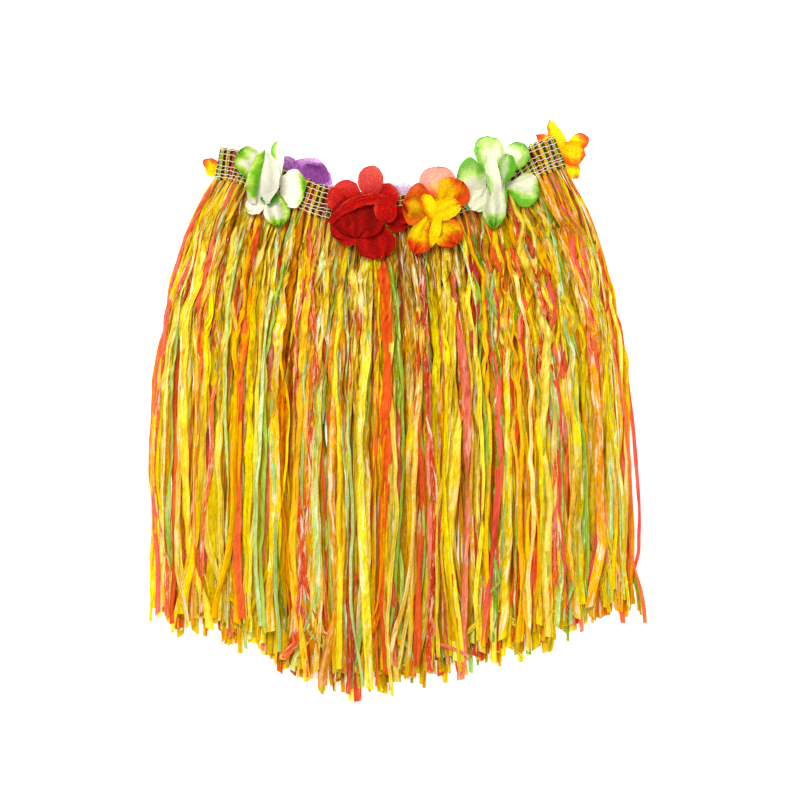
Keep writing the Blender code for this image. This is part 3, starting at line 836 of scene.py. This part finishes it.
def band_loops(rng, material, colours, name, chance, thick):
    """Small loops that stand out of the band's top edge, of film where thick and of thread where not."""
    batch = Batch()
    for index in range(BAND_COLUMNS * 2):
        if rng.random() > chance:
            continue
        share = (index + 0.5 + rng.uniform(-0.3, 0.3)) / (BAND_COLUMNS * 2)
        width, tall = rng.uniform(0.0016, 0.0038), rng.uniform(0.0008, 0.0028)
        turns = np.linspace(0, math.pi, LOOP_POINTS)
        along = np.clip(share - np.cos(turns) * width / 2 / WAIST.length, 0, 1)
        rise = BAND_HEIGHT / 2 - 0.0006 + np.sin(turns) * tall
        height = 0.0052 + rng.uniform(-0.0014, 0.0012) + 0.0006 * np.sin(turns)
        path = band_place(along, rise, height)
        colour = (*linear(*colours[rng.integers(len(colours))]), 1)
        if thick:
            values = rng.uniform(0.0005, 0.0011), rng.uniform(0.4, 1.3), 0.2, 0
            ribbon(batch, path, *(np.full(LOOP_POINTS, value) for value in values), colour)
        else:
            round_tube(batch, path, THREAD_RADIUS * 0.8, colour)
    return add_piece(batch, name, material)


def waistband():
    rng = np.random.default_rng(12)
    bundles, threads = raffia_material("raffia_band", 0.15), thread_material()
    shell = band_shell(lining_material())
    made = []
    for front in (True, False):
        made.append(band_columns(rng, bundles, front))
        made.append(band_threads(rng, threads, front))
    made.append(band_loops(rng, threads, ((255, 255, 255),), "waistband_picot", 0.8, False))
    made.append(band_loops(rng, bundles, COLUMN_COLOURS + DARK_COLOURS, "waistband_loops", 0.7, True))
    return shell, made


# ---- flowers
PETAL_ROWS, PETAL_COLUMNS = 30, 29
RAGGED, RAGGED_TIP = 0.00035, 0.00035 * 1.4  # how far a petal's cut edge wanders, and its tip
CRINKLE, EDGE_WAVE, PLEAT_DEPTH = 0.00035, 0.0011, 0.004

# Cloth. Columns: slot; share of the light let through; grain; opacity; its colours in the middle, half-way,
# at the edge, where it is deepest and where it is bleached.
# The deep colour is partly the cloth's own and partly painted shade, for petals that lie in shadow.
LOOKS = {
    "white": ("petal_white", 0.2, 0.1, 0.97, (
        (226, 221, 200), (176, 204, 70), (84, 164, 10), (52, 124, 14), (226, 224, 214),
    )),
    "pale": ("petal_white", 0.2, 0.12, 0.97, (
        (214, 214, 182), (170, 202, 96), (94, 164, 34), (58, 128, 22), (220, 222, 206),
    )),
    "red": ("petal_red", 0.3, 0.6, 0.98, (
        (174, 10, 4), (188, 22, 8), (210, 62, 42), (120, 2, 0), (220, 110, 94),
    )),
    "orange": ("petal_orange", 0.3, 0.36, 0.98, (
        (244, 202, 0), (228, 126, 0), (214, 60, 12), (184, 88, 2), (226, 156, 140),
    )),
    "purple": ("petal_purple", 0.3, 0.5, 0.95, (
        (150, 80, 156), (170, 108, 172), (204, 158, 206), (116, 46, 120), (206, 178, 208),
    )),
    "lilac": ("petal_purple", 0.3, 0.2, 0.85, (
        (186, 164, 190), (196, 178, 198), (206, 190, 208), (140, 110, 150), (214, 204, 216),
    )),
}

# A petal starts at root, from the flower's middle. wide_at is where it is widest, base how wide it starts,
# and point 0.5 for a round tip and more for a sharp one. bend turns its middle line, rise and curl tilt it up
# and over, fold cups it, roll tips it sideways, and flap folds a side over from a share of its half width, by
# an angle. left, right and tip say how far the edge colour reaches in; pale bleaches it and deep darkens it.
# deep is partly the cloth's own darker colour and partly painted shade, where a petal lies in shadow.
Petal = namedtuple(
    "Petal",
    "degrees length width root z wide_at base point bend rise curl fold roll flap pleats"
    " left right tip pale deep",
    defaults=(0.6, 0.25, 0.5, 0, 14, -18, 18, 0, (0, 0), 0, 0, 0, 0, 0, 0),
)
WHITE_LEFT_PETALS = (
    Petal(124, 42, 27, (-5, 3), 1, 0.66, bend=10, rise=12, fold=22, pleats=0.7, left=0.74, tip=0.86,
          deep=0.1),
    Petal(88, 40, 13, (6, 6), 4.5, 0.72, base=0.5, point=0.46, fold=26, left=1.05, tip=0.4),
    Petal(-2, 23, 36, (9, 3), 1.5, 0.52, base=0.62, left=0.25, right=0.25, tip=0.95),
    Petal(-80, 38, 25, (2, 5), 2.5, 0.66, point=0.62, curl=-24, pleats=1.2, left=0.8, tip=0.86),
    Petal(207, 21, 17, (-3, -7), 4, 0.62, base=0.5, rise=16, curl=-30, pleats=0.4, tip=0.42),
    Petal(262, 16, 16, (0, 3), 6, base=0.8, point=0.9, rise=10, fold=40, deep=1),
    Petal(78, 50, 45, (-15, -11), 7, 0.4, base=0.66, point=0.6, bend=-10, rise=18, curl=-34, fold=22, roll=-4,
          flap=(-0.3, 150), pleats=1, left=0.86, deep=0.08),
)
RED_PETALS = (
    Petal(144, 38, 34, (-3, 1), 1, rise=10, curl=-16, left=0.6, right=0.5, tip=0.7, pale=0.04),
    Petal(38, 28, 24, (4, 6), 1.5, rise=12, fold=26, tip=0.85, deep=0.15),
    Petal(86, 37, 25, (1, 7), 3, 0.62, point=0.52, fold=34, pleats=0.5, left=0.6, tip=0.9, pale=0.24),
    Petal(-18, 27, 25, (12, 0), 1, 0.62, point=0.6, rise=3, curl=-6, pleats=0.7, tip=0.4, deep=0.4),
    Petal(216, 37, 34, (-1, 0), 3, 0.64, rise=12, curl=-22, pleats=0.4, left=0.5, tip=0.4, deep=0.28),
    Petal(-78, 42, 36, (2, -1), 3.5, 0.64, curl=-26, pleats=1, tip=0.55, deep=0.15),
    Petal(-98, 37, 50, (-6, 14), 5, 0.42, base=0.66, rise=10, curl=-22, fold=20, pleats=1.3, right=0.3,
          tip=0.4, deep=0.55),
    Petal(20, 66, 12, (-35, -9), 8.5, 0.52, base=0.55, bend=-36, rise=5, curl=-10, fold=48, roll=10,
          pleats=0.3, left=0.75, right=0.55),
    Petal(-80, 25, 22, (14, 16), 10, 0.5, base=0.75, rise=4, curl=-30, fold=34, right=0.6, tip=0.45),
)
ORANGE_PETALS = (
    Petal(92, 34, 34, (1, 9), 1, 0.62, rise=8, curl=-12, left=1.1, right=1.1, tip=1.2, pale=0.72),
    Petal(168, 28, 40, (-4, 5), 2.5, 0.55, base=0.45, point=0.6, curl=-26, pleats=1.2, left=0.75, right=1.05,
          tip=1, deep=0.42),
    Petal(50, 37, 32, (0, 1), 5, 0.68, point=0.62, curl=-20, fold=10, pleats=0.8, right=1.15, tip=0.95,
          deep=0.3),
    Petal(-114, 42, 24, (-4, 2), 3.5, 0.66, curl=-24, pleats=0.9, left=0.9, right=0.3, tip=1.15),
    Petal(-50, 39, 29, (-6, 1), 5.5, 0.64, point=0.55, rise=16, curl=-30, pleats=1, left=0.7, right=0.3,
          tip=1.25, deep=0.12),
    Petal(-104, 36, 11, (3, 3), 8, 0.55, base=0.6, point=0.9, curl=-34, fold=54, left=0.5),
    Petal(22, 30, 20, (-6, -2), 9, 0.5, base=0.7, rise=10, curl=-26, fold=24, pleats=0.6, tip=0.5),
    Petal(112, 27, 14, (-2, -7), 7.5, base=0.6, point=0.7, rise=18, curl=-40, fold=36, left=0.7),
)
WHITE_RIGHT_PETALS = (
    Petal(97, 45, 28, (-4, 2), 1, 0.72, rise=10, pleats=0.5, left=0.85, right=0.5, tip=0.78),
    Petal(182, 28, 49, (-10, 3), 1, 0.5, base=0.55, point=0.6, rise=6, curl=-12, pleats=0.7, left=0.56,
          right=0.95, tip=0.74),
    Petal(-13, 31, 32, (8, 1), 1, 0.62, rise=10, curl=-16, pleats=0.4, left=0.45, right=1.05, tip=0.8),
    Petal(62, 37, 24, (6, 7), 2.5, 0.7, point=0.6, pleats=0.5, left=0.2, right=0.85, tip=0.92),
    Petal(80, 30, 18, (5, 0), 5.5, 0.55, rise=20, curl=-40, fold=34, left=0.72, right=1.3, deep=0.45),
    Petal(228, 24, 20, (-8, -3), 4, base=0.5, pleats=0.4, tip=0.35),
    Petal(101, 40, 15, (-1, -9), 8, 0.5, base=0.8, point=0.8, rise=20, curl=-40, fold=50, left=0.8, pale=0.3),
    Petal(-90, 33, 5.5, (6, 4), 6, 0.4, curl=-30, fold=40, left=1.2, right=1.2),
    Petal(-92, 47, 22, (-2, 8), 8.2, 0.62, base=0.62, point=0.66, rise=12, curl=-36, fold=34, pleats=1,
          left=0.4, right=0.45, tip=1.1),
)
ORANGE_BACK_RIGHT_PETALS = (
    Petal(-64, 28, 15, (0, 2), 0.2, 0.55, rise=0, curl=4, fold=6, left=0.5, tip=0.7),
    Petal(146, 32, 13, (0, 0), 0.3, 0.5, base=0.5, point=0.95, rise=0, curl=18, fold=16, left=0.9, tip=1.3),
    Petal(118, 34, 15, (2, 1), 0.5, 0.45, base=0.7, point=0.75, bend=-6, rise=0, curl=26, fold=40, left=0.75,
          tip=0.1),
    Petal(30, 27, 16, (0, 2), 0.7, 0.62, rise=4, curl=30, fold=30, left=0.3, right=0.9, tip=1),
    Petal(-10, 25, 24, (-3, 2), 0.9, 0.55, base=0.7, point=0.7, rise=6, curl=26, fold=26, pleats=0.4,
          left=0.45, right=0.85, tip=0.92),
)
PURPLE_BACK_PETALS = (
    Petal(76, 31, 34, (0, 0), 0.2, 0.62, rise=0, curl=44, left=0.5, right=0.7, tip=1),
    Petal(34, 27, 26, (0, 0), 0.5, rise=0, curl=30, right=0.8, tip=1),
    Petal(124, 36, 15, (0, 0), 0.7, 0.7, point=0.4, rise=0, curl=26, pleats=0.6, left=0.4, tip=0.8),
    Petal(66, 26, 27, (4, 2), 1.2, 0.55, rise=2, curl=56, fold=24, deep=0.3),
)
LILAC_BACK_PETALS = (
    Petal(92, 22, 21, (0, 0), 0.2, rise=0, curl=30, tip=0.8),
    Petal(128, 27, 14, (0, 0), 0.4, rise=0, curl=20, tip=0.8),
)
ORANGE_BACK_LEFT_PETALS = (
    Petal(186, 17, 11, (0, 1), 0.2, rise=0, curl=8, tip=0.2),
    Petal(160, 21, 12, (0, 1), 0.5, point=0.7, rise=0, curl=24, right=0.9, tip=1.1),
)

# Columns: the node it replaces; cloth; middle; height of its root; petals, from the lowest up.
FLOWERS = (
    ("flower_white_left", "white", (-0.1141, 0.2014), FLOWER_SEAT, WHITE_LEFT_PETALS),
    ("flower_red", "red", (-0.0248, 0.1812), FLOWER_SEAT, RED_PETALS),
    ("flower_orange", "orange", (0.0386, 0.1812), FLOWER_SEAT, ORANGE_PETALS),
    ("flower_white_right", "pale", (0.0938, 0.206), FLOWER_SEAT, WHITE_RIGHT_PETALS),
    ("flower_orange_back_right", "orange", (0.1546, 0.2373), FLOOR_CLEARANCE, ORANGE_BACK_RIGHT_PETALS),
    ("flower_purple_back", "purple", (-0.0819, 0.2042), FLOOR_CLEARANCE, PURPLE_BACK_PETALS),
    ("flower_lilac_back", "lilac", (0.0083, 0.1885), FLOOR_CLEARANCE, LILAC_BACK_PETALS),
    ("flower_orange_back_left", "orange", (-0.1573, 0.2216), FLOOR_CLEARANCE, ORANGE_BACK_LEFT_PETALS),
)


def petal_outline(v, facts):
    """Half width of a petal, as a share of its widest, from its root to its tip."""
    wide_at = facts.wide_at
    body = mix(facts.base, 1, smooth(0, wide_at, v))
    past = np.maximum(v - wide_at, 0) / (1 - wide_at)
    return body * np.clip(1 - past**2.2, 0, 1) ** facts.point


def petal_section(u, facts, swell):
    """Unit section across a petal: it leans by an angle that grows from its middle, and a flap turns over."""
    step = u[1] - u[0]
    lean = np.radians(max(facts.fold, 2)) * u[None, :] * swell[:, None]
    start, turn = facts.flap
    if turn:
        over = smooth(abs(start), abs(start) + 0.14, u * math.copysign(1, start))
        over = math.copysign(math.radians(turn), start) * over[None, :]
        lean = lean + over * smooth(0, 0.3, swell)[:, None]
    side, rise = np.cumsum(np.cos(lean), axis=1) * step, np.cumsum(np.sin(lean), axis=1) * step
    middle = len(u) // 2
    return side - side[:, middle : middle + 1], rise - rise[:, middle : middle + 1]


def petal_relief(rng, rise, u, v, width, pleated):
    """Adds waves, crinkles and pleats to a petal's section. Also returns the pleats, 1 on a crest."""
    wave = rng.uniform(0, 2 * math.pi, 6)
    u, v = u[None, :], v[:, None]
    edge = np.sin(v * 8 + wave[0] + 2 * np.sign(u)) * np.abs(u) ** 2 * smooth(0.15, 0.6, v)
    edge = edge + np.sin(u * 5 + wave[1]) * v**3
    crinkle = np.sin(u * 12 + wave[2] + v * 5) * np.sin(v * 14 + wave[3])
    crinkle = crinkle + 0.6 * np.sin(u * 21 + wave[4] - v * 9) * np.sin(v * 27 + wave[5])
    pleats = np.abs(((u * 2.6 + wave[4] + 0.6 * v) % 2) - 1) * v**0.7
    rise = rise + EDGE_WAVE * edge * (width / 0.03) + CRINKLE * crinkle
    return rise + PLEAT_DEPTH * pleated * (pleats - 0.5), pleats


def petal_tint(u, v, facts, pleats):
    """How much a petal shows of its edge's colour, its bleached one, its painted shade at the heart and in
    pleat valleys, and its deep one.
    """
    along = v[:, None]
    tint = np.zeros((len(v), len(u), 4))
    to_left, to_right = ((1 - u) / 2) ** 1.5, ((1 + u) / 2) ** 1.5
    reach = np.maximum(facts.left * to_left, facts.right * to_right)[None, :] * smooth(-0.1, 0.16, along)
    tint[..., 0] = np.clip(np.maximum(reach, facts.tip * along**2.6), 0, 1.5)
    tint[..., 1] = facts.pale * smooth(0.1, 0.7, along)
    # Painted shade: darker in the pleats' valleys and near the root.
    painted_valley_shade = 0.7 * facts.pleats * (1 - pleats) ** 2 * smooth(0, 0.3, along)
    tint[..., 2] = np.clip(np.maximum(0.4 * (1 - smooth(0, 0.55, along)), painted_valley_shade), 0, 1)
    tint[..., 3] = facts.deep
    return tint


def add_petal(batch, rng, centre, seat, facts):
    """Adds a petal whose middle line rises and curls, and whose sections are bowed. Returns its area."""
    length, width = facts.length * MM, facts.width * MM
    v = np.linspace(0, 1, PETAL_ROWS) ** 0.92
    u = np.linspace(-1, 1, PETAL_COLUMNS)
    slope = np.radians(facts.rise + facts.curl * v**1.3)
    heading = np.radians(facts.degrees + facts.bend * (v - 0.5) * 2)
    step = np.diff(v, prepend=0) * length
    middle_x = np.cumsum(np.cos(slope) * np.cos(heading) * step)
    middle_y = np.cumsum(np.cos(slope) * np.sin(heading) * step)
    height = np.cumsum(np.sin(slope) * step)
    half = width / 2 * petal_outline(v, facts)
    half = half + knots(rng, v * length, 0.0028, RAGGED) * smooth(0.1, 0.5, v)
    half = np.maximum(half, 0)
    side, rise = petal_section(u, facts, mix(0.6, 1, v))
    side, rise = side * half[:, None], rise * half[:, None]
    rise, pleats = petal_relief(rng, rise, u, v, width, facts.pleats)
    roll = math.radians(facts.roll)
    side, rise = side * math.cos(roll) + rise * math.sin(roll), rise * math.cos(roll) - side * math.sin(roll)
    notch = knots(rng, (u + 1) * width / 2, 0.003, RAGGED_TIP)[None, :] * smooth(0.75, 1, v)[:, None]
    back = notch - np.sin(slope)[:, None] * rise
    up = height[:, None] + np.cos(slope)[:, None] * rise
    cos, sin = np.cos(heading)[:, None], np.sin(heading)[:, None]
    x = centre[0] + facts.root[0] * MM + middle_x[:, None] + cos * back + sin * side
    y = centre[1] + facts.root[1] * MM + middle_y[:, None] + sin * back - cos * side
    z = np.maximum(seat + facts.z * MM + up, max(FLOOR_CLEARANCE, seat - 0.0002))
    flats = flat_grid(u * half[:, None], v * length) + rng.uniform(0, 5, 2)
    batch.add(np.stack([x, y, z], axis=-1), flats, petal_tint(u, v, facts, pleats))
    return float(np.sum(half * step) * 2)


def flowers():
    cloths = {
        look: petal_material(f"petals_{look}", *cloth, *(linear(*colour) for colour in colours))
        for look, (_, *cloth, colours) in LOOKS.items()
    }
    for index, (name, look, centre, seat, petals) in enumerate(FLOWERS):
        rng = np.random.default_rng(100 + index)
        batch = Batch()
        area = sum(add_petal(batch, rng, centre, seat, facts) for facts in petals)
        piece = add_piece(batch, name + "_petals", cloths[look], name)


# ---- the studio
def studio():
    floor_batch = Batch()
    edge = np.linspace(-FLOOR_SIZE / 2, FLOOR_SIZE / 2, 3)
    x, y = np.meshgrid(edge, edge)
    floor_batch.add(np.stack([x, y, np.full_like(x, FLOOR_HEIGHT)], -1), np.stack([x, y], -1), WHITE)
    n = Nodes("floor_pale")
    soft = n.noise(3, 3, 2, 0.5)
    n.dress({
        "Base Color": n.blend(soft, (0.93, 0.93, 0.93, 1), (0.95, 0.95, 0.95, 1)),
        "Roughness": 0.9,
        "Specular IOR Level": 0.1,
        "Emission Color": WHITE,
        "Emission Strength": FLOOR_GLOW,
    })
    floor = floor_batch.build("floor", n.material)

    scene = bpy.context.scene
    world = bpy.data.worlds.new("studio")
    world.use_nodes = True
    back = world.node_tree.nodes["Background"]
    back.inputs["Color"].default_value = WHITE
    back.inputs["Strength"].default_value = WORLD_LIGHT
    scene.world = world
    scene.view_settings.view_transform = "Standard"

    for name, place, size, power in LIGHTS:
        light = bpy.data.lights.new(name, "AREA")
        light.size, light.energy = size, power
        lamp = add_object(name, light, place)
        lamp.rotation_euler = (-Vector(place)).to_track_quat("-Z", "Y").to_euler()

    data = bpy.data.cameras.new("camera")
    data.sensor_width = SENSOR
    data.lens = SENSOR * CAMERA_PLACE[2] / PICTURE_WIDTH
    data.clip_end = 20
    scene.camera = add_object("camera", data, CAMERA_PLACE)


studio()
band, band_trim = waistband()
strips = fringe()
flowers()
